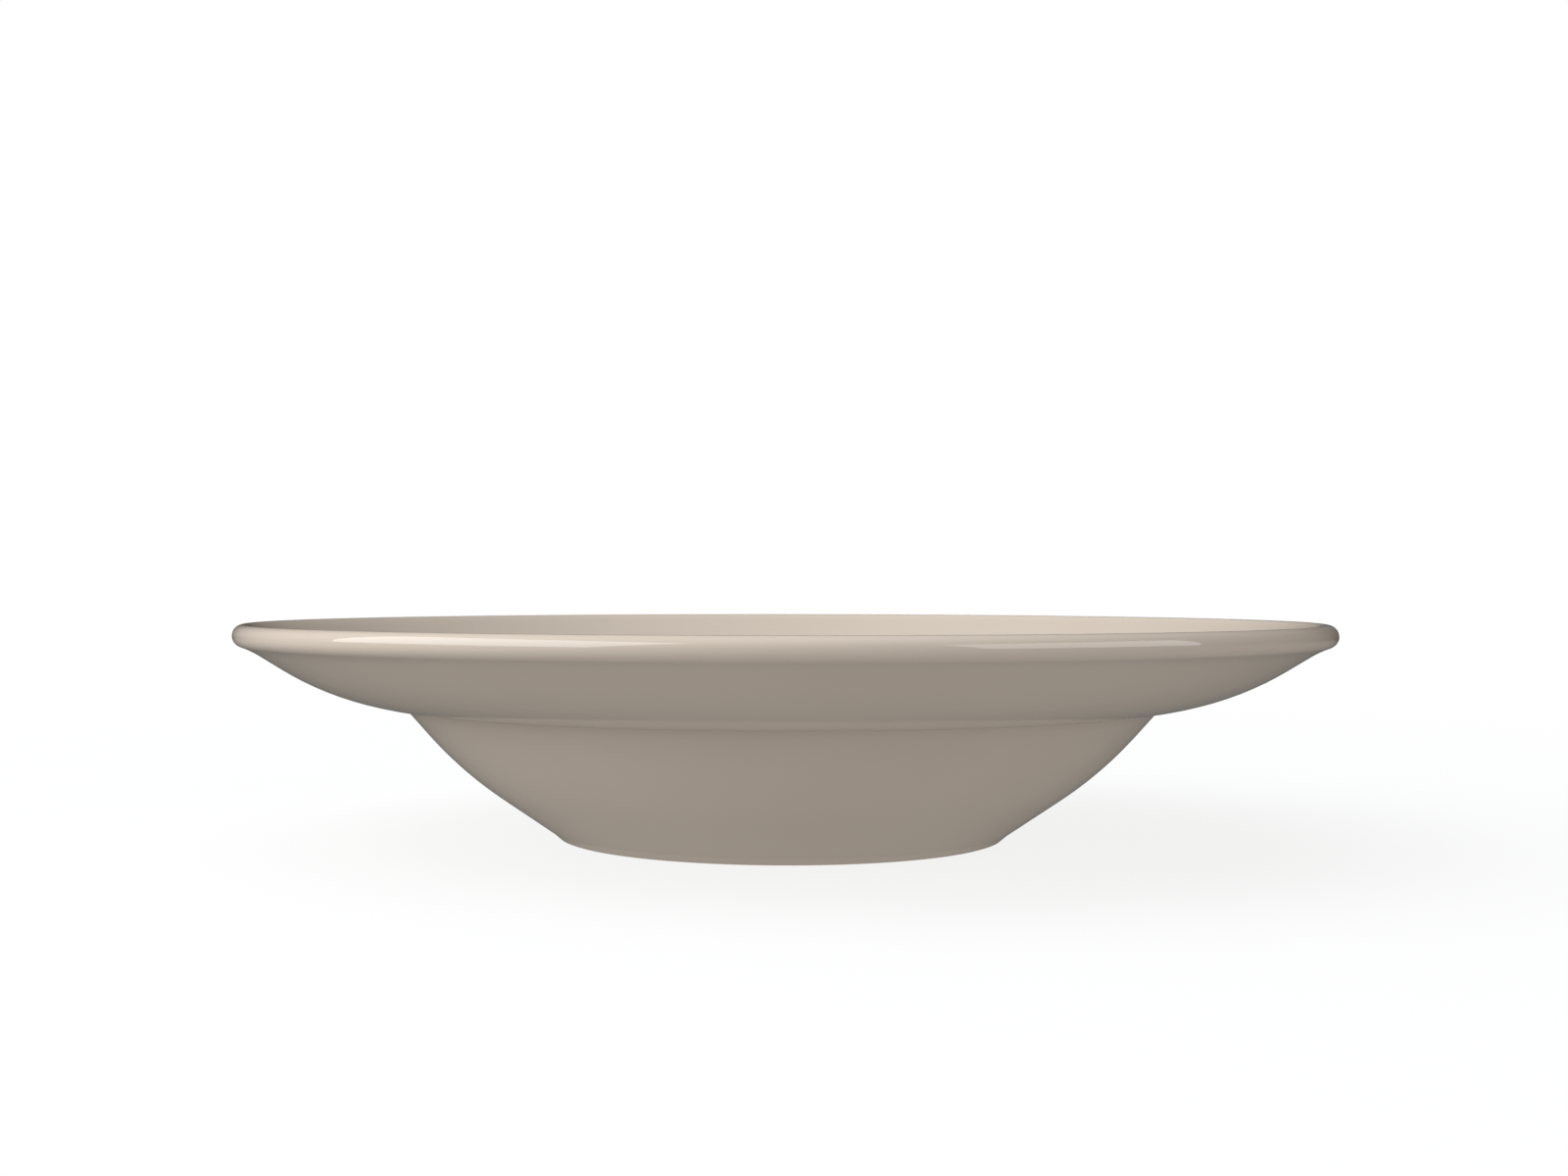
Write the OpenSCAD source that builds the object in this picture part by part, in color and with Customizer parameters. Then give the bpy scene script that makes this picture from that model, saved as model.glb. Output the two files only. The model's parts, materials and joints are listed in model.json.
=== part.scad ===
// Rimmed soup plate, turned about the Z axis and standing on the XY plane.
// The real plate is one fired clay body with glass fused over it, left bare where it stands.
// Its section is a chain of arcs, each tangent to the straight stretches beside it.
// Growing every arc by the glaze's thickness gives the glazed surface, parallel to the clay.

/* [Plate] */
// Diameter over the glazed edge
plate_d = 230; // [215:1:260]
// Height of the glazed edge above the table
plate_h = 46.1; // [42:0.1:52]
// Thickness of the clay in the wall and the rim
wall_t = 3.6; // [3:0.1:4.6]
// Thickness of the clay in the floor of the well
floor_t = 4.5; // [3.5:0.1:6]
// Thickness of the glaze
glaze_t = 0.25; // [0.15:0.01:0.4]

/* [Rolled edge] */
// How far the bead at the edge stands out below the rim's underside
bead_proud = 0.5; // [0.2:0.05:1]
// Radius of the hollow where the underside runs into the bead
neck_r = 18; // [6:1:24]

/* [Rim] */
// Diameter of the crease where the rim's underside meets the wall
crease_d = 159.2; // [150:0.2:168]
// Height of the crease above the table
crease_h = 28.5; // [26:0.1:30.5]
// Radius in the crease
crease_r = 1; // [0.6:0.1:2]
// Radius of the rim's upward sweep, on its underside
rim_sweep_r = 58; // [30:1:60]
// Radius of the rim's upward sweep, on its top
rim_top_sweep_r = 45; // [20:1:60]
// Radius of the verge, where the rim turns down into the well
verge_r = 8; // [3:0.5:12]

/* [Well] */
// Radius of the wall's outward belly
wall_sweep_r = 81; // [50:1:100]
// Radius where the floor of the well turns up into the wall
well_r = 22; // [10:1:30]

/* [Foot] */
// Diameter of the foot's outer edge at the table
foot_d = 92.8; // [84:0.2:98]
// Height of the foot's outer side
foot_h = 1.9; // [1.5:0.1:3]
// Slope of the foot's outer side in degrees
foot_outer_angle = 41; // [38:1:60]
// Radius of the foot's outer edge
foot_edge_r = 1.5; // [0.8:0.1:2]
// Radius where the foot's outer side meets the wall
foot_blend_r = 4; // [1:0.5:6]
// Width of the foot ring at the table, between its two edges
foot_w = 3; // [2.6:0.1:5]
// Depth of the recess under the floor, inside the foot ring
recess_h = 2; // [1.5:0.1:3]
// Slope of the foot's inner side in degrees
foot_inner_angle = 60; // [45:1:80]
// Radius of the foot's inner edge
foot_inner_edge_r = 0.8; // [0.5:0.1:1.2]
// Radius where the foot's inner side meets the recess
recess_blend_r = 1; // [0.6:0.1:2]
// Height at which the glaze stops above the table
dry_h = 0.35; // [0.3:0.05:0.6]

/* [Hidden] */
$fn = 180;
clay_colour = "#d8ccbb";
glaze_colour = "#d4c6b5";
// Largest gap between an arc and the straight steps that stand for it
arc_gap = 0.01;
// How far a cutting shape runs past what it cuts
overrun = 1;
// The wall's corner point, as shares of the way from the foot to the crease
wall_corner_shares = [0.63, 0.507];
// The rim's corner point, as shares of the way from the crease to the bead's centre
rim_corner_shares = [0.428, 0.1];
// The part of a straight stretch that the two arcs at its ends may share
stretch_share = 0.98;

// Plane geometry on points written as [distance from the axis, height]
function unit(v) = v / norm(v);
function left_of(v) = [-v[1], v[0]];
function turned(a) = [cos(a), sin(a)];
function angle_of(v) = atan2(v[1], v[0]);
function cross_of(a, b) = a[0] * b[1] - a[1] * b[0];
function turn_between(a, b) = atan2(cross_of(a, b), a * b);
function shared(a, b, shares) = [for (i = [0, 1]) a[i] + (b[i] - a[i]) * shares[i]];

// A corner of a chain, moved with both its straight stretches to their left side
function moved_corner(before, corner, after, distance) =
    let (
        n1 = left_of(unit(corner - before)),
        n2 = left_of(unit(after - corner))
    )
    corner + (n1 + n2) * distance / (1 + n1 * n2);

// An arc is [centre, radius, start angle, sweep], and its sweep is negative where it is hollow
function corner_arc(before, corner, after, tangent) =
    let (
        u = unit(corner - before),
        sweep = turn_between(u, unit(after - corner)),
        radius = tangent == 0 ? 0 : tangent / tan(abs(sweep) / 2),
        centre = corner - u * tangent + left_of(u) * radius * sign(sweep)
    )
    [centre, radius, angle_of(u) - 90 * sign(sweep), sweep];

// Distance from each corner to where its arc of that radius would begin
function tangents(points, radii) =
    [for (i = [0:len(points) - 1]) radii[i] == 0 ? 0 :
        radii[i] * tan(abs(turn_between(points[i] - points[i - 1], points[i + 1] - points[i])) / 2)];

// The share of a tangent length that a straight stretch leaves room for
function room(a, b, tangent_a, tangent_b) = stretch_share * norm(b - a) / (tangent_a + tangent_b);

// Arcs at all inner corners of a chain, each as large as asked for or as its stretches allow
function chain_arcs(points, radii) =
    let (t = tangents(points, radii))
    [for (i = [1:len(points) - 2])
        corner_arc(points[i - 1], points[i], points[i + 1],
            t[i] * min(1, room(points[i - 1], points[i], t[i - 1], t[i]),
                room(points[i], points[i + 1], t[i], t[i + 1])))];

// Points of one arc, grown outwards from the clay
function arc_points(arc, grow) =
    let (
        step = 2 * acos(1 - arc_gap / max(arc[1], arc_gap)),
        count = max(1, ceil(abs(arc[3]) / step)),
        radius = arc[1] + sign(arc[3]) * grow
    )
    [for (i = [0:count]) arc[0] + radius * turned(arc[2] + arc[3] * i / count)];

// Bead: a round edge that the rim's top runs into smoothly and that stands proud below
bead_r = (wall_t + bead_proud) / 2;
bead_centre = [plate_d / 2 - glaze_t - bead_r, plate_h - glaze_t - bead_r];

// Corner points of the outside, from the foot to the rim
foot_inner = [foot_d / 2 - foot_w, 0];
recess_corner = [foot_inner[0] - recess_h / tan(foot_inner_angle), recess_h];
foot_outer = [foot_d / 2, 0];
foot_top = [foot_outer[0] + foot_h / tan(foot_outer_angle), foot_h];
crease = [crease_d / 2, crease_h];
wall_corner = shared(foot_top, crease, wall_corner_shares);
rim_corner = shared(crease, bead_centre, rim_corner_shares);

// The underside passes below the bead's centre by what the bead leaves of the wall
under_bead = wall_t - bead_r;
to_bead = bead_centre - rim_corner;
rim_angle = angle_of(to_bead) - asin(under_bead / norm(to_bead));
along_rim = turned(rim_angle);
across_rim = left_of(along_rim);

// Hollow between the underside and the bead, tangent to both
neck_drop = under_bead + neck_r;
neck_reach = sqrt(pow(bead_r + neck_r, 2) - pow(neck_drop, 2));
neck_angle = atan2(neck_drop, neck_reach);
neck_centre = bead_centre - along_rim * neck_reach - across_rim * neck_drop;
neck_start = neck_centre + across_rim * neck_r;
neck_arc = [neck_centre, neck_r, rim_angle + 90, neck_angle - 90];
bead_arc = [bead_centre, bead_r, rim_angle + neck_angle - 180, 270 - neck_angle];

// Corner points of the inside, parallel to the outside and one wall thickness from it
bead_top = bead_centre + across_rim * bead_r;
rim_top_corner = moved_corner(crease, rim_corner, neck_start, wall_t);
verge = moved_corner(wall_corner, crease, rim_corner, wall_t);
well_wall_corner = moved_corner(foot_top, wall_corner, crease, wall_t);
floor_z = recess_h + floor_t;
down_wall = unit(foot_top - wall_corner);
well_corner = well_wall_corner + down_wall * (floor_z - well_wall_corner[1]) / down_wall[1];

// Arcs of the whole section, from the recess round the edge and back to the floor of the well
outside_arcs = chain_arcs(
    [[0, recess_h], recess_corner, foot_inner, foot_outer, foot_top, wall_corner, crease, rim_corner,
        neck_start],
    [0, recess_blend_r, foot_inner_edge_r, foot_edge_r, foot_blend_r, wall_sweep_r, crease_r,
        rim_sweep_r, 0]);
inside_arcs = chain_arcs(
    [bead_top, rim_top_corner, verge, well_wall_corner, well_corner, [0, floor_z]],
    [0, rim_top_sweep_r, verge_r, wall_sweep_r - wall_t, well_r, 0]);
section_arcs = concat(outside_arcs, [neck_arc, bead_arc], inside_arcs);

// Closed outline of the section, moved outwards by the given distance
function outline(grow) =
    concat(
        [[0, recess_h - grow]],
        [for (arc = section_arcs) each arc_points(arc, grow)],
        [[0, floor_z + grow]]);

// Section of all the glass: the grown outline less the clay, and less the foot that is wiped dry
module glaze_section() {
    difference() {
        polygon(outline(glaze_t));
        polygon(outline(0));
        translate([0, -overrun])
            square([plate_d / 2, dry_h + overrun]);
    }
}

// Region of the section that lies under the floor, inside the middle of the foot ring
module recess_region() {
    translate([0, -overrun])
        square([(foot_inner[0] + foot_outer[0]) / 2, overrun + recess_h + floor_t / 2]);
}

// Fired clay: foot ring, well, verge, rim and rolled edge, turned in one piece
module clay_body() {
    color(clay_colour)
        rotate_extrude()
            polygon(outline(0));
}

// Glass over the well, the rim, the rolled edge and the outside, down to the foot
module glaze_coat() {
    color(glaze_colour)
        rotate_extrude()
            difference() {
                glaze_section();
                recess_region();
            }
}

// Separate disc of glass in the recess, cut off from the rest by the dry foot ring
module base_glaze() {
    color(glaze_colour)
        rotate_extrude()
            intersection() {
                glaze_section();
                recess_region();
            }
}

clay_body();
glaze_coat();
base_glaze();
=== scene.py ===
# %% [markdown]
# A rimmed soup plate is a turned clay body with glass fused over it. It has no ornament, so a
# wrong curve, tone or reflection has nowhere to hide, and that makes it a good first lesson.
# The plate's construction was modelled before, as exact solids, and comes in as a fixed frame:
# the clay, the coat of glaze over it, and the small disc of glaze under its base.
# Everything here is in metres in that frame, with the plate's axis on Z and the table at height
# zero.

# %% Load the frame
import json
import math

import bpy
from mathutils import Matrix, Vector

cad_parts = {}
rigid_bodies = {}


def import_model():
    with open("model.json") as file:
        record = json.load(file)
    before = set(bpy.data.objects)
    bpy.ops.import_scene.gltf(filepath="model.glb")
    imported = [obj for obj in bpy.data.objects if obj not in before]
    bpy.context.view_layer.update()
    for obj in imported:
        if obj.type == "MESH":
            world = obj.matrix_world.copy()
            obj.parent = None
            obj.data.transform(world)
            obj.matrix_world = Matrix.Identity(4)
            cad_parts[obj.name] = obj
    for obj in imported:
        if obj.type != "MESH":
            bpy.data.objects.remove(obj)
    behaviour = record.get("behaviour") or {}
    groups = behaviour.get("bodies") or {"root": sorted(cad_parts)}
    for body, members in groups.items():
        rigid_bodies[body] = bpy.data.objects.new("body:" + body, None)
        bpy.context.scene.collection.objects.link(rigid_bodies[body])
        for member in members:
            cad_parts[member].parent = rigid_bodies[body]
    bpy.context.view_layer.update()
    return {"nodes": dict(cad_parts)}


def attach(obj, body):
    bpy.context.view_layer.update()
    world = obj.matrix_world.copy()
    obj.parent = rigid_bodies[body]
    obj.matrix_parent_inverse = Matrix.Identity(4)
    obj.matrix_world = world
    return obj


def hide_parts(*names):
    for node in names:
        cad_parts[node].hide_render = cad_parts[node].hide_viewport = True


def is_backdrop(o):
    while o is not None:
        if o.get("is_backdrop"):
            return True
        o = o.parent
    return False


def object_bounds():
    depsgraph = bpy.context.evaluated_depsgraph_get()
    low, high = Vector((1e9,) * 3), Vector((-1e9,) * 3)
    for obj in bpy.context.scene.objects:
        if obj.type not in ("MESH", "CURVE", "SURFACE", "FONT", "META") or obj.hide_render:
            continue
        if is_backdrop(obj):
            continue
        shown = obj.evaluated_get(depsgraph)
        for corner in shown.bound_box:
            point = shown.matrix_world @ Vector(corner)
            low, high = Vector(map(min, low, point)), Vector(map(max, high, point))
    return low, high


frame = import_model()
scene = bpy.context.scene
scene.view_settings.view_transform = "Standard"
print("solids in the frame:", ", ".join(sorted(frame["nodes"])))

# %% [markdown]
# The camera comes first, because everything else is judged through it. The photograph was taken
# from just above the table, so close that the near edge hangs visibly lower than the far one.
# The plate is round and its outline is known, so the camera can be worked out: its height and
# distance come from how open the rim's ellipse is and how much larger the near half looks.
# The picture is also cut off-centre. The lens points at a column left of the middle, and the
# camera's shift repeats that cut, and nothing more.

# %% The photograph's camera
IMAGE_W = 1600
SENSOR_W = 36.0
FOCAL_PX = 2090.3
LENS_COLUMN_PX = 714.1
EYE = Vector((0.0, -0.44127, 0.05445))
TURNED_LEFT = math.radians(2.234)
TILTED_DOWN = math.radians(0.133)

camera_data = bpy.data.cameras.new("photo_camera")
camera_data.sensor_width = SENSOR_W
camera_data.lens = FOCAL_PX / IMAGE_W * SENSOR_W
camera_data.shift_x = (IMAGE_W / 2 - LENS_COLUMN_PX) / IMAGE_W
camera_data.clip_start = 0.01
camera = bpy.data.objects.new("photo_camera", camera_data)
camera.location = EYE
camera.rotation_euler = (math.radians(90) - TILTED_DOWN, 0.0, TURNED_LEFT)
scene.collection.objects.link(camera)
scene.camera = camera
print(f"lens {camera_data.lens:.2f} mm, {camera_data.shift_x:+.4f} of the width aside")

# %% [markdown]
# The plate's whole shape is its section, half of it, turned about the axis. A potter cuts such a
# section into a profile tool, and a draughtsman draws it as straight stretches with each corner
# rounded. That is done here too. The other ways are a Bezier curve, whose handles say nothing
# about a radius, or points read from a picture, which carry the picture's faults along.
# The sizes are the real ones in millimetres: overall, rolled edge, rim, well and foot.

# %% The driving sizes of the section, in millimetres
MM = 0.001
PLATE_R = 115.0
PLATE_H = 46.1
WALL_T = 3.6
FLOOR_T = 4.5
GLAZE_T = 0.25

BEAD_PROUD = 0.5
NECK_R = 18.0

CREASE = Vector((79.6, 28.5))
CREASE_R = 1.0
RIM_SWEEP_R = 58.0
RIM_TOP_SWEEP_R = 45.0
VERGE_R = 8.0

WALL_SWEEP_R = 81.0
WELL_R = 22.0

FOOT_R = 46.4
FOOT_W = 3.0
FOOT_H = 1.9
FOOT_OUTER_ANGLE = math.radians(41)
FOOT_EDGE_R = 1.5
FOOT_BLEND_R = 4.0
RECESS_H = 2.0
FOOT_INNER_ANGLE = math.radians(60)
FOOT_INNER_EDGE_R = 0.8
RECESS_BLEND_R = 1.0
DRY_H = 0.35

WALL_CORNER_SHARES = (0.63, 0.507)
RIM_CORNER_SHARES = (0.428, 0.1)
print(f"plate {2 * PLATE_R:.0f} mm across and {PLATE_H} mm high, foot {2 * FOOT_R:.1f} mm")

# %% [markdown]
# Two small tools are enough for the drawing. One rounds a corner between two straight stretches
# and returns the arc: its centre, its radius, the angle where it starts and how far it turns.
# The turn is negative where the clay is hollow. The other moves a corner inwards by the wall's
# thickness, so that the inside of the plate is parallel to the outside, as thrown clay is.

# %% Tools for drawing a section
def left_of(v):
    return Vector((-v.y, v.x))


def at_angle(angle):
    return Vector((math.cos(angle), math.sin(angle)))


def between(a, b, shares):
    """The point at a share of the way from a to b across, and at another share up."""
    return Vector((a.x + (b.x - a.x) * shares[0], a.y + (b.y - a.y) * shares[1]))


def rounded(before, corner, after, radius):
    """The arc (centre, radius, start, turn) that rounds a corner of the section."""
    along = (corner - before).normalized()
    onward = (after - corner).normalized()
    turn = math.atan2(along.x * onward.y - along.y * onward.x, along.dot(onward))
    side = math.copysign(1.0, turn)
    centre = corner - along * radius * math.tan(abs(turn) / 2) + left_of(along) * radius * side
    return centre, radius, math.atan2(along.y, along.x) - side * math.pi / 2, turn


def moved_in(before, corner, after, distance):
    """A corner moved to the left of both its stretches, into the clay."""
    n1 = left_of((corner - before).normalized())
    n2 = left_of((after - corner).normalized())
    return corner + (n1 + n2) * distance / (1 + n1.dot(n2))


square_corner = rounded(Vector((0, 0)), Vector((2, 0)), Vector((2, 2)), 1.0)
print("a square corner rounded by 1 turns", round(math.degrees(square_corner[3])), "degrees")

# %% [markdown]
# Now the drawing itself, which runs from the axis under the base, out over the foot and up the
# wall, round the rolled edge, and back down into the well. The corners of the outside come
# first. The wall and the rim have one corner each between their ends, and the large arc that
# rounds it is their sweep. Its place is given as two shares of the way from end to end, across
# and up, so that the sweep stays in keeping when a size changes.

# %% The corners of the outside
bead_r = (WALL_T + BEAD_PROUD) / 2
bead_centre = Vector((PLATE_R - GLAZE_T - bead_r, PLATE_H - GLAZE_T - bead_r))

foot_inner = Vector((FOOT_R - FOOT_W, 0))
recess_corner = Vector((foot_inner.x - RECESS_H / math.tan(FOOT_INNER_ANGLE), RECESS_H))
foot_outer = Vector((FOOT_R, 0))
foot_top = Vector((FOOT_R + FOOT_H / math.tan(FOOT_OUTER_ANGLE), FOOT_H))
wall_corner = between(foot_top, CREASE, WALL_CORNER_SHARES)
rim_corner = between(CREASE, bead_centre, RIM_CORNER_SHARES)
print(f"the wall bends at radius {wall_corner.x:.1f} and the rim at {rim_corner.x:.1f} mm")

# %% [markdown]
# On the real plate the roll is a round bead that stands proud of the rim's underside only: the
# top runs into it without a step, and a long hollow neck leads into it from below. That neck is
# what gives the edge its soft lower shadow. The rim's slope follows from its thickness, because
# its top has to touch the bead. The neck's arc touches the rim's underside and the bead, so its
# centre lies one radius below the one, and both radii away from the centre of the other.

# %% The bead and its neck
under_bead = WALL_T - bead_r
to_bead = bead_centre - rim_corner
rim_angle = math.atan2(to_bead.y, to_bead.x) - math.asin(under_bead / to_bead.length)
along_rim = at_angle(rim_angle)
across_rim = left_of(along_rim)

neck_drop = under_bead + NECK_R
neck_reach = math.sqrt((bead_r + NECK_R) ** 2 - neck_drop**2)
neck_turn = math.pi / 2 - math.atan2(neck_drop, neck_reach)
neck_centre = bead_centre - along_rim * neck_reach - across_rim * neck_drop
neck_start = neck_centre + across_rim * NECK_R
print("the rim rises at", round(math.degrees(rim_angle), 1), "degrees")

# %% [markdown]
# The inside follows from the outside: each corner is moved in by the wall's thickness. Only the
# floor of the well has a height of its own, and the wall is carried on down until it meets it.

# %% The corners of the inside
bead_top = bead_centre + across_rim * bead_r
rim_top_corner = moved_in(CREASE, rim_corner, neck_start, WALL_T)
verge = moved_in(wall_corner, CREASE, rim_corner, WALL_T)
well_wall_corner = moved_in(foot_top, wall_corner, CREASE, WALL_T)
floor_z = RECESS_H + FLOOR_T
down_wall = (foot_top - wall_corner).normalized()
well_corner = well_wall_corner + down_wall * (floor_z - well_wall_corner.y) / down_wall.y
floor_centre = Vector((0, floor_z))
print(f"the floor of the well lies {floor_z:.1f} mm up and reaches out to {well_corner.x:.1f} mm")

# %% [markdown]
# With every corner known, each is rounded by its own radius, and the neck and the bead take
# their place between the outside and the inside. What comes out is a chain of arcs that turn
# smoothly into each other, with straight stretches wherever two arcs don't touch.

# %% The section as a chain of arcs
recess_centre = Vector((0, RECESS_H))
outside = [recess_centre, recess_corner, foot_inner, foot_outer, foot_top, wall_corner, CREASE,
           rim_corner, neck_start]
outside_r = [RECESS_BLEND_R, FOOT_INNER_EDGE_R, FOOT_EDGE_R, FOOT_BLEND_R, WALL_SWEEP_R,
             CREASE_R, RIM_SWEEP_R]
inside = [bead_top, rim_top_corner, verge, well_wall_corner, well_corner, floor_centre]
inside_r = [RIM_TOP_SWEEP_R, VERGE_R, WALL_SWEEP_R - WALL_T, WELL_R]

outside_arcs = [rounded(*outside[i:i + 3], radius) for i, radius in enumerate(outside_r)]
inside_arcs = [rounded(*inside[i:i + 3], radius) for i, radius in enumerate(inside_r)]
neck_arc = (neck_centre, NECK_R, rim_angle + math.pi / 2, -neck_turn)
bead_arc = (bead_centre, bead_r, rim_angle - math.pi / 2 - neck_turn, math.pi + neck_turn)
section = outside_arcs + [neck_arc, bead_arc] + inside_arcs
print(len(section), "arcs in the section")

# %% [markdown]
# A section becomes a path of points before it can be turned. Each point keeps the direction that
# faces out of the clay there, because the glaze is laid on along it. Arcs get a point every few
# degrees, so that a highlight runs smoothly over them, and long stretches one every few
# millimetres. Where two arcs meet, both give the same place, and only one of the two is kept,
# because the lathe would make slivers of a pair. The path also keeps how deep the glaze lies:
# molten glaze creeps away from sharp edges and gathers in hollows, which shows as a shade of
# colour later.

# %% Walk along the section
ARC_STEP = math.radians(4)
LONG_STEP = 2.5
SAME_PLACE = 0.005
FEWEST_STEPS = 2
POOL_REACH = 2.5


def walk(arcs, first, last):
    """Points [place, outward direction, creep] from first to last along tangent arcs.

    Creep is 1 in a tight hollow, -1 on a tight edge and 0 on an even sweep.
    """
    stops = [[first, Vector((0, -1)), 0.0]]
    for centre, radius, start, turn in arcs:
        side = math.copysign(1.0, turn)
        by_angle = math.ceil(abs(turn) / ARC_STEP)
        by_length = math.ceil(abs(turn) * radius / LONG_STEP)
        count = max(by_angle, by_length, FEWEST_STEPS)
        creep = -side * min(1.0, POOL_REACH / radius)
        for i in range(count + 1):
            ray = at_angle(start + turn * i / count)
            stops.append([centre + ray * radius, ray * side, creep])
    stops.append([last, Vector((0, 1)), 0.0])
    path = [stops[0]]
    for (place, facing, _), following in zip(stops, stops[1:]):
        gap = (following[0] - place).length
        if gap < SAME_PLACE:
            continue
        count = math.ceil(gap / LONG_STEP)
        for i in range(1, count):
            share = i / count
            path.append([place.lerp(following[0], share), facing.lerp(following[1], share), 0.0])
        path.append(following)
    return path


clay_path = walk(section, recess_centre, floor_centre)
print(len(clay_path), "points along the clay")

# %% [markdown]
# The lathe turns a path into a mesh. Blender's Screw modifier and bmesh's spin both do this, but
# they leave a pinched pole and no say over the points. Here each ring of corners is written out
# and the two ends on the axis close in a fan, so that every piece is one watertight skin with
# no stray faces. The first corners lie half a step off the X axis, so that the mesh has the
# same box as the solids have.

# %% The lathe
TURN_STEPS = 288
SHARP_ANGLE = math.radians(40)
NOTHING = 1e-6


def on_axis(point):
    return point.x < NOTHING


def lathe(name, profile):
    """A mesh turned from (radius, height) points in millimetres, the solid on their left."""
    corners = []
    rings = []
    for point in profile:
        start = len(corners)
        if on_axis(point):
            corners.append((0.0, 0.0, point.y * MM))
            rings.append([start] * TURN_STEPS)
            continue
        for step in range(TURN_STEPS):
            around = at_angle((step + 0.5) * math.tau / TURN_STEPS) * point.x * MM
            corners.append((around.x, around.y, point.y * MM))
        rings.append(list(range(start, start + TURN_STEPS)))
    faces = []
    for near, far in zip(rings, rings[1:]):
        for step in range(TURN_STEPS):
            onward = (step + 1) % TURN_STEPS
            quad = [near[step], near[onward], far[onward], far[step]]
            faces.append([c for i, c in enumerate(quad) if c not in quad[:i]])
    mesh = bpy.data.meshes.new(name)
    mesh.from_pydata(corners, [], [face for face in faces if len(face) > 2])
    mesh.update()
    mesh.shade_smooth()
    mesh.set_sharp_from_angle(angle=SHARP_ANGLE)
    piece = bpy.data.objects.new(name, mesh)
    scene.collection.objects.link(piece)
    return piece


print("the lathe takes", TURN_STEPS, "steps a turn")

# %% [markdown]
# The clay body is the first piece on the lathe. It stands in for its solid from the frame and
# rides on the plate's one body, since nothing on a plate moves.

# %% Turn the clay body
clay = lathe("fired_clay_body", [place for place, _, _ in clay_path])
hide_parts("clay_body")
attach(clay, "root")
print("clay body:", len(clay.data.polygons), "faces")

# %% [markdown]
# The glaze is a skin of glass a quarter of a millimetre thick. It starts at the dry foot, where
# the potter wiped the clay bare so that the plate would not stick to the kiln shelf. Molten
# glass ends in a rounded lip there, so its thickness grows from nothing over half a millimetre
# along a quarter of an ellipse. Its inner side reaches a hair into the clay, as fused glass
# does, and that also keeps two surfaces from lying in the same place.

# %% Lay the glaze on the clay
LIP_W = 0.5
LIP_POINTS = 8
FUSED = 0.02


def stop_at(path, distance):
    """The place, facing and creep at a distance along a path."""
    for here, following in zip(path, path[1:]):
        gap = (following[0] - here[0]).length
        if distance <= gap:
            share = distance / gap
            place = here[0].lerp(following[0], share)
            return [place, here[1].lerp(following[1], share), here[2]]
        distance -= gap
    return path[-1]


def glaze_over(path):
    """The skin's outer points with their creep, from the lip on, and its inner points."""
    outer = []
    for i in range(LIP_POINTS + 1):
        angle = math.pi / 2 * i / LIP_POINTS
        place, facing, creep = stop_at(path, LIP_W * (1 - math.cos(angle)))
        outer.append((place + facing * GLAZE_T * math.sin(angle), creep))
    travelled = 0.0
    inner = [path[0][0] - path[0][1] * FUSED]
    for here, following in zip(path, path[1:]):
        travelled += (following[0] - here[0]).length
        if travelled > LIP_W + SAME_PLACE:
            outer.append((following[0] + following[1] * GLAZE_T, following[2]))
            inner.append(following[0] - following[1] * FUSED)
    return outer, inner


print("the glaze ends in a lip of", LIP_POINTS + 1, "points,", LIP_W, "mm wide")

# %% [markdown]
# The glaze begins where the clay rises past the height up to which the foot was wiped. The
# clay's path is cut there twice: once walking out over the foot's edge and on round the whole
# plate, and once walking back from the same place into the recess under the base. Each cut path
# runs from the dry line to the axis, so one function can lay the glaze on both.

# %% Where the glaze begins
def first_above(path, height):
    """The path from the place where it first rises past a height."""
    for i, (here, following) in enumerate(zip(path, path[1:])):
        if here[0].y <= height < following[0].y:
            share = (height - here[0].y) / (following[0].y - here[0].y)
            place = here[0].lerp(following[0], share)
            return [[place, following[1], following[2]]] + path[i + 1:]
    return path


standing = next(i for i, stop in enumerate(clay_path) if stop[0].y < NOTHING)
outer_path = first_above(clay_path[standing:], DRY_H)
base_path = first_above(clay_path[standing::-1], DRY_H)
print("the glaze starts at radius", round(outer_path[0][0].x, 2), "and", round(base_path[0][0].x, 2))

# %% [markdown]
# The coat and the base disc are turned on the same lathe. How far the glaze has crept is smoothed
# over a few millimetres, as the melt would do, and stored on the mesh as a number at each
# corner. Storing it keeps the shader simple, and the number stays with the mesh whatever the
# view or the renderer. Working it out from the mesh's curvature in the shader would be noisier.

# %% Turn the two glazed pieces
CREEP_BLUR = 2.0


def smoothed(outer):
    """The creep of each outer point, averaged with its neighbours along the path."""
    reach = [0.0]
    for (a, _), (b, _) in zip(outer, outer[1:]):
        reach.append(reach[-1] + (b - a).length)
    spans = [(reach[min(i + 1, len(reach) - 1)] - reach[max(i - 1, 0)]) / 2
             for i in range(len(reach))]
    result = []
    for centre in reach:
        weights = [math.exp(-((r - centre) / CREEP_BLUR) ** 2) * s for r, s in zip(reach, spans)]
        total = sum(weight * creep for weight, (_, creep) in zip(weights, outer))
        result.append(total / sum(weights))
    return result


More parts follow.
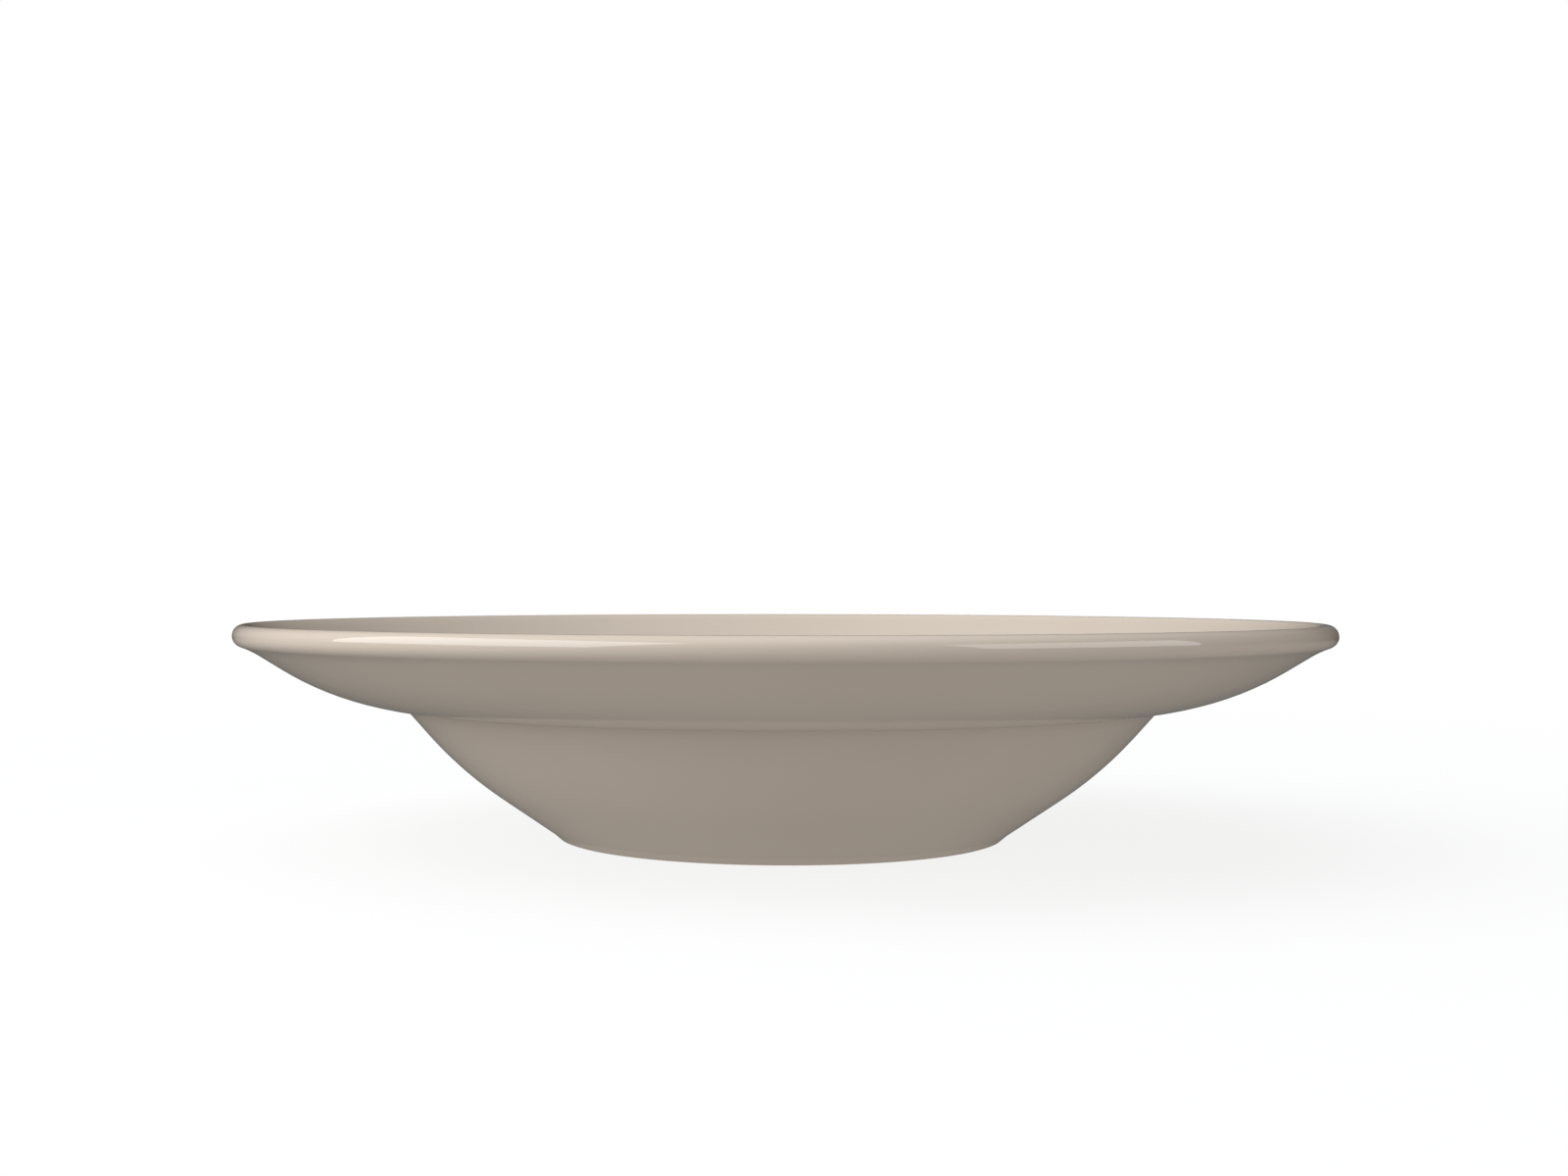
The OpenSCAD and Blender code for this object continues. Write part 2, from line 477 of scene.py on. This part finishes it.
def glazed_piece(name, path, node, clay_on_left):
    """A piece of glaze that replaces its node, turned from a path with the clay on one side."""
    outer, inner = glaze_over(path)
    profile = [place for place, _ in reversed(outer)] + inner
    creeps = smoothed(outer)[::-1] + [0.0] * len(inner)
    if clay_on_left:
        profile.reverse()
        creeps.reverse()
    piece = lathe(name, profile)
    values = []
    for point, creep in zip(profile, creeps):
        values += [creep] * (1 if on_axis(point) else TURN_STEPS)
    attribute = piece.data.attributes.new("glaze_creep", "FLOAT", "POINT")
    attribute.data.foreach_set("value", values)
    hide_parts(node)
    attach(piece, "root")
    print(f"{name}: {len(piece.data.polygons)} faces, creep {min(creeps):.2f} to {max(creeps):.2f}")
    return piece


coat = glazed_piece("glaze_over_plate", outer_path, "glaze_coat", True)
base_disc = glazed_piece("glaze_under_base", base_path, "base_glaze", False)

# %% [markdown]
# The finishes come next, and shader maths reads best as plain expressions. A small class wraps
# the output of a node, and Python's own operators on it add Math nodes. The reflected forms are
# there as well, because in 1 - mask the number comes first.

# %% Shader maths as expressions
class Socket:
    """The output of a node. Sums, products and 1 - mask on it add Math nodes."""

    def __init__(self, graph, end):
        self.graph = graph
        self.end = end

    def math(self, operation, *values):
        """A Math node on values and sockets."""
        return self.graph.node("ShaderNodeMath", {"operation": operation}, dict(enumerate(values)))

    def __add__(self, other):
        return self.math("ADD", self, other)

    def __rsub__(self, other):
        return self.math("SUBTRACT", other, self)

    def __mul__(self, other):
        return self.math("MULTIPLY", self, other)

    def at_least(self, other):
        return self.math("MAXIMUM", self, other)

    __radd__ = __add__
    __rmul__ = __mul__


print("operators that add a Math node: +, - and *")

# %% [markdown]
# Another class holds the node tree, and one method of it makes any node from its type, its
# settings and its sockets. The few that come up again and again have a short name of their own.
# Colours are mixed by Mix nodes, because a Math node would turn them grey, and whole shaders by
# Mix Shader nodes.

# %% The node tree
class Graph:
    """A node tree that is filled by one method."""

    def __init__(self, tree):
        self.tree = tree
        tree.nodes.clear()

    def node(self, kind, settings=None, sockets=None, output=0):
        """A new node. Its settings come first, since its sockets can depend on them."""
        made = self.tree.nodes.new(kind)
        for name, value in (settings or {}).items():
            setattr(made, name, value)
        for name, value in (sockets or {}).items():
            if isinstance(value, Socket):
                self.tree.links.new(value.end, made.inputs[name])
            else:
                made.inputs[name].default_value = value
        return Socket(self, made.outputs[output]) if made.outputs else None

    def mixed(self, share, first, second):
        """One colour going over into another. A Mix node's colours are its sockets 6 and 7."""
        sockets = {0: share, 6: first, 7: second}
        return self.node("ShaderNodeMix", {"data_type": "RGBA"}, sockets, output=2)

    def blended(self, share, first, second):
        """One shader going over into another."""
        return self.node("ShaderNodeMixShader", None, {0: share, 1: first, 2: second})

    def noise(self, place, scale, detail):
        """Noise with about as many lumps to the metre as the scale says."""
        sockets = {"Vector": place, "Scale": scale, "Detail": detail}
        return self.node("ShaderNodeTexNoise", None, sockets)

    def ramp(self, value, low, high):
        """A number taken smoothly from 0 at low to 1 at high."""
        settings = {"interpolation_type": "SMOOTHSTEP"}
        sockets = {"Value": value, "From Min": low, "From Max": high}
        return self.node("ShaderNodeMapRange", settings, sockets)


def new_material(name):
    """An empty material and the graph that fills it."""
    material = bpy.data.materials.new(name)
    material.use_nodes = True
    return material, Graph(material.node_tree)


print("node tools ready")

# %% [markdown]
# The glaze is an opaque, glossy, warm greige. On a real plate it isn't one flat colour. It is a
# little deeper and browner where it pooled in the crease and round the foot, and a little paler
# where it crept thin over the rolled edge. It carries a very faint cloudiness from uneven
# spraying, a few centimetres across, where the gloss is a touch duller too. Its surface is not
# optically flat either: it has a shallow ripple a few millimetres wide and some thousandths of a
# millimetre deep, which only a highlight shows.

# %% Glaze
GLAZE = (0.62, 0.535, 0.45, 1)
GLAZE_CLOUD = (0.61, 0.525, 0.44, 1)
GLAZE_POOLED = (0.54, 0.45, 0.365, 1)
GLAZE_THIN = (0.66, 0.57, 0.48, 1)
GLAZE_IOR = 1.78
GLOSS = 0.02
CLOUD_DULLS_BY = 0.015

CLOUDS_PER_M = 28.0
CLOUD_DETAIL = 2.0
CLOUD_RANGE = (0.3, 0.7)
POOLED_RANGE = (0.05, 1.0)
THIN_RANGE = (0.05, 1.2)
RIPPLES_PER_M = 140.0
RIPPLE_DETAIL = 1.0
RIPPLE_DEPTH = 4e-6


def glaze_material():
    material, g = new_material("greige_gloss_glaze")
    place = g.node("ShaderNodeTexCoord", output="Object")
    creep = g.node("ShaderNodeAttribute", {"attribute_name": "glaze_creep"}, output="Fac")
    cloud = g.ramp(g.noise(place, CLOUDS_PER_M, CLOUD_DETAIL), *CLOUD_RANGE)
    colour = g.mixed(cloud, GLAZE, GLAZE_CLOUD)
    colour = g.mixed(g.ramp(creep, *POOLED_RANGE), colour, GLAZE_POOLED)
    colour = g.mixed(g.ramp(-1 * creep, *THIN_RANGE), colour, GLAZE_THIN)
    ripple = g.noise(place, RIPPLES_PER_M, RIPPLE_DETAIL)
    bump = g.node("ShaderNodeBump", None, {
        "Strength": 1.0, "Distance": RIPPLE_DEPTH, "Height": ripple})
    shader = g.node("ShaderNodeBsdfPrincipled", None, {
        "Base Color": colour,
        "Roughness": GLOSS + CLOUD_DULLS_BY * cloud,
        "IOR": GLAZE_IOR,
        "Normal": bump})
    g.node("ShaderNodeOutputMaterial", None, {"Surface": shader})
    return material


glaze = glaze_material()
coat.data.materials.append(glaze)
base_disc.data.materials.append(glaze)
print("glaze nodes:", len(glaze.node_tree.nodes))

# %% [markdown]
# The clay shows only on the narrow ring that the plate stands on. Fired clay is matt and gritty,
# with fine dark specks of iron, and the sponge that wiped it left faint rings round the foot.
# The rings are noise read along the radius alone, which is what a turned mark is.

# %% Bare clay of the foot
CLAY = (0.71, 0.61, 0.50, 1)
CLAY_GRIT = (0.60, 0.49, 0.38, 1)
CLAY_SPECK = (0.30, 0.22, 0.15, 1)
CLAY_DULL = 0.82
GRIT_DULLS_BY = 0.1

RINGS_PER_M = 4000.0
GRAINS_PER_M = 1800.0
GRAIN_DETAIL = 3.0
SPECKS_PER_M = 700.0
SPECK_DETAIL = 1.0
SPECK_RANGE = (0.70, 0.74)
GRAIN_SHARE = 0.6
GRIT_RANGE = (0.35, 0.65)
RING_RELIEF = 0.5
CLAY_RELIEF = 2e-5


def clay_material():
    material, g = new_material("bare_fired_clay")
    place = g.node("ShaderNodeTexCoord", output="Object")
    level = g.node("ShaderNodeVectorMath", {"operation": "MULTIPLY"}, {0: place, 1: (1, 1, 0)})
    radius = g.node("ShaderNodeVectorMath", {"operation": "LENGTH"}, {0: level}, "Value")
    rings = g.node("ShaderNodeTexNoise", {"noise_dimensions": "1D"}, {
        "W": radius, "Scale": RINGS_PER_M})
    grit = g.noise(place, GRAINS_PER_M, GRAIN_DETAIL)
    specks = g.ramp(g.noise(place, SPECKS_PER_M, SPECK_DETAIL), *SPECK_RANGE)
    mottle = GRAIN_SHARE * grit + (1 - GRAIN_SHARE) * rings
    colour = g.mixed(g.ramp(mottle, *GRIT_RANGE), CLAY, CLAY_GRIT)
    colour = g.mixed(specks, colour, CLAY_SPECK)
    height = grit + RING_RELIEF * rings
    bump = g.node("ShaderNodeBump", None, {
        "Strength": 1.0, "Distance": CLAY_RELIEF, "Height": height})
    shader = g.node("ShaderNodeBsdfPrincipled", None, {
        "Base Color": colour, "Roughness": CLAY_DULL + GRIT_DULLS_BY * grit, "Normal": bump})
    g.node("ShaderNodeOutputMaterial", None, {"Surface": shader})
    return material


clay.data.materials.append(clay_material())
print("clay finished")

# %% [markdown]
# A glossy plate is lit by what it reflects. The two long highlights on the rolled edge are the
# images of two softboxes, and their outlines give away where those stand: every point of a
# highlight's border, mirrored at the roll, leads back to a border of the lamp. The key stands
# high on the left and the fill lower on the right, both wide and both facing the plate.

# %% Softboxes
def softbox(name, azimuth, elevation, distance, width, height, watts):
    """A rectangular lamp that faces the plate; azimuth 0 is on the camera's side, + is right."""
    turn = math.radians(azimuth)
    rise = math.radians(elevation)
    level = Vector((math.sin(turn), -math.cos(turn), 0.0)) * math.cos(rise)
    place = level + Vector((0.0, 0.0, math.sin(rise)))
    data = bpy.data.lights.new(name, "AREA")
    data.shape = "RECTANGLE"
    data.size = width
    data.size_y = height
    data.energy = watts
    lamp = bpy.data.objects.new(name, data)
    lamp.location = place * distance
    lamp.rotation_euler = (-place).to_track_quat("-Z", "Y").to_euler()
    scene.collection.objects.link(lamp)
    print(f"{name}: {width:.2f} by {height:.2f} m, {watts:.1f} W")


softbox("key_softbox", azimuth=-65.7, elevation=35.1, distance=1.17, width=1.43, height=0.95, watts=8.2)
softbox("fill_softbox", azimuth=61.6, elevation=20.7, distance=1.5, width=1.38, height=0.92, watts=5.3)

# %% [markdown]
# The rest of the light comes from the room, and it isn't even: the inside of the plate is paler
# on the right, which faces left, so the room is bright on the left and high up.
# The white table throws light up from below, about half as much as falls from above.
# The background is pure white, and that is what the camera, a reflection or glass would see.
# Light that falls on things comes from the same world with the room's own shades.

# %% White surroundings
WHITE = (1.0, 1.0, 1.0, 1)
ROOM_DARK = (0.04, 0.04, 0.04, 1)
ROOM_BRIGHT = (1.51, 1.55, 1.60, 1)
ROOM_BELOW = (0.56, 0.56, 0.56, 1)
BRIGHT_SIDE = (-0.712, 0.04, 0.701)
HORIZON_BLUR = 0.05


def seen_directly(g):
    """1 for what the camera, a reflection or glass sees, and 0 for light on a surface."""
    camera_ray = g.node("ShaderNodeLightPath", output="Is Camera Ray")
    glossy_ray = g.node("ShaderNodeLightPath", output="Is Glossy Ray")
    through_ray = g.node("ShaderNodeLightPath", output="Is Transmission Ray")
    return camera_ray.at_least(glossy_ray).at_least(through_ray)


def white_room():
    world = bpy.data.worlds.new("white_room")
    world.use_nodes = True
    g = Graph(world.node_tree)
    direction = g.node("ShaderNodeTexCoord", output="Generated")
    brightness = g.node("ShaderNodeVectorMath", {"operation": "DOT_PRODUCT"}, {
        0: direction, 1: BRIGHT_SIDE}, "Value")
    height = g.node("ShaderNodeSeparateXYZ", None, {"Vector": direction}, "Z")
    colour = g.mixed(brightness, ROOM_DARK, ROOM_BRIGHT)
    above = g.ramp(height, -HORIZON_BLUR, HORIZON_BLUR)
    colour = g.mixed(1 - above, colour, ROOM_BELOW)
    colour = g.mixed(seen_directly(g), colour, WHITE)
    light = g.node("ShaderNodeBackground", None, {"Color": colour, "Strength": 1.0})
    g.node("ShaderNodeOutputWorld", None, {"Surface": light})
    return world


scene.world = white_room()
print("room light from below", ROOM_BELOW[0], "and from the bright side", ROOM_BRIGHT[0])

# %% [markdown]
# The plate stands on a pale table. Its shade is partly its own and partly a white that doesn't
# depend on the lamps, and that share grows with the distance, so that the table runs out into
# the white background without a horizon while the plate's soft shadow stays. The light that the
# table throws up is already in the room's lower half, so the table itself adds none: else the
# foot, a hair above it, would stand in the dark. From below it is clear, to show the foot too.

# %% Pale table
# The table's own sizes are in millimetres, as the lathe takes them.
TABLE_R = 2000.0
TABLE_GAP = 0.03
# What the shader measures is in metres.
NEAR_R = 0.13
FAR_R = 0.6
WHITE_NEAR = 0.84
TABLE = (0.88, 0.88, 0.88, 1)


def pale_table():
    material, g = new_material("pale_table")
    place = g.node("ShaderNodeTexCoord", output="Object")
    radius = g.node("ShaderNodeVectorMath", {"operation": "LENGTH"}, {0: place}, "Value")
    far = g.ramp(radius, NEAR_R, FAR_R)
    white_share = (WHITE_NEAR + (1 - WHITE_NEAR) * far) * seen_directly(g)
    surface = g.node("ShaderNodeBsdfDiffuse", None, {"Color": TABLE})
    white = g.node("ShaderNodeEmission", None, {"Color": WHITE, "Strength": 1.0})
    top = g.blended(white_share, surface, white)
    below = g.node("ShaderNodeNewGeometry", output="Backfacing")
    clear = g.node("ShaderNodeBsdfTransparent")
    whole = g.blended(below, top, clear)
    g.node("ShaderNodeOutputMaterial", None, {"Surface": whole})
    return material


table = lathe("pale_table", [Vector((TABLE_R, -TABLE_GAP)), Vector((0, -TABLE_GAP))])
table.data.materials.append(pale_table())
table.visible_diffuse = False
table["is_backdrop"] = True
print("table laid")

# %% [markdown]
# White all round has a price: at a glancing angle the glaze mirrors it fully, so the plate's
# outline would glow and melt into the background. In the photograph the outline is darker than
# the plate, so the studio behind the lamps was dark. A photographer gets that with black cloth,
# which only the reflections see. Here it is one great dome behind the softboxes, and every shade
# of it is its own glow, painted light: its walls are nearly black, its ceiling is paler, and its
# floor holds a painted pool of dim, warm light round the plate that fades into the dark, as a
# table lit only within the lamps' reach would. That fading darkens the underside's outline too.
# Behind the plate, a little to the right, a paler patch glows, also painted light. At a glancing
# angle the right end of the roll mirrors it, and its edge is softer for that.

# %% Painted glow of the dark studio
# The dome's radius is in millimetres and the fading of the floor's painted pool of light in metres.
# The ceiling's beginning and the reach of the paler glowing patch are shares of the dome's radius.
STUDIO_R = 2500.0
PAINTED_POOL_TO = 0.2
FLOOR_DARK_FROM = 1.1
CEILING_FROM = 0.6
PALE_ASIDE = math.radians(15)
PALE_WITHIN = 0.14
PALE_GONE_BY = 0.32
STUDIO_DARK = (0.022, 0.02, 0.018, 1)
# The paler patch is painted light: a faint glow for the roll's right end to mirror.
STUDIO_PALE_GLOW = (0.085, 0.080, 0.074, 1)
# The floor's shade is painted light: a glow standing in for a table lit round the plate.
STUDIO_FLOOR_PAINTED_LIGHT = (0.17, 0.16, 0.145, 1)
STUDIO_CEILING = (0.25, 0.25, 0.25, 1)


def dark_studio():
    share_of_radius = 1 / (STUDIO_R * MM)
    pale_at = Vector((math.sin(PALE_ASIDE), math.cos(PALE_ASIDE), 0)) * STUDIO_R * MM
    material, g = new_material("dark_studio")
    place = g.node("ShaderNodeTexCoord", output="Object")
    reach = g.node("ShaderNodeVectorMath", {"operation": "LENGTH"}, {0: place}, "Value")
    height = g.node("ShaderNodeSeparateXYZ", None, {"Vector": place}, "Z") * share_of_radius
    gap = g.node("ShaderNodeVectorMath", {"operation": "DISTANCE"}, {0: place, 1: pale_at}, "Value")
    from_pale = g.ramp(gap * share_of_radius, PALE_WITHIN, PALE_GONE_BY)
    beyond = g.ramp(reach, PAINTED_POOL_TO, FLOOR_DARK_FROM)
    up_to_ceiling = g.ramp(height, CEILING_FROM, 1.0)
    # Every shade of the dome is a glow of its own, painted light that only reflections see.
    dark, pale, floor, ceiling = [
        g.node("ShaderNodeEmission", None, {"Color": shade, "Strength": 1.0})
        for shade in (STUDIO_DARK, STUDIO_PALE_GLOW, STUDIO_FLOOR_PAINTED_LIGHT, STUDIO_CEILING)]
    walls = g.blended(from_pale, pale, dark)
    below = g.blended(beyond, floor, walls)
    g.node("ShaderNodeOutputMaterial", None, {
        "Surface": g.blended(up_to_ceiling, below, ceiling)})
    return material


studio_material = dark_studio()
print("studio nodes:", len(studio_material.node_tree.nodes))

# %% [markdown]
# The dome itself is a quarter circle on the same lathe, closed by a floor that lies a hair under
# the plate and just over the table. It is hidden from the camera and from shadow rays and lights
# nothing, so it is staging and isn't part of the plate.

# %% The studio's dome
DOME_STEPS = 24
dome_angles = [math.pi / 2 * (1 - i / DOME_STEPS) for i in range(DOME_STEPS + 1)]
dome_section = [at_angle(angle) * STUDIO_R for angle in dome_angles]
dome_section[0].x = 0.0
studio = lathe("dark_studio", dome_section + [Vector((0, -TABLE_GAP / 2))])
studio.data.materials.append(studio_material)
studio.visible_camera = False
studio.visible_diffuse = False
studio.visible_shadow = False
studio.visible_transmission = False
studio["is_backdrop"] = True
print("studio walls", STUDIO_R * MM, "m away")

# %% [markdown]
# The dressed plate's box is printed.

# %% The size of the dressed plate
visual_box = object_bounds()
sides = visual_box[1] - visual_box[0]
print("sides of the dressed plate, in mm:", [round(1000 * side, 3) for side in sides])
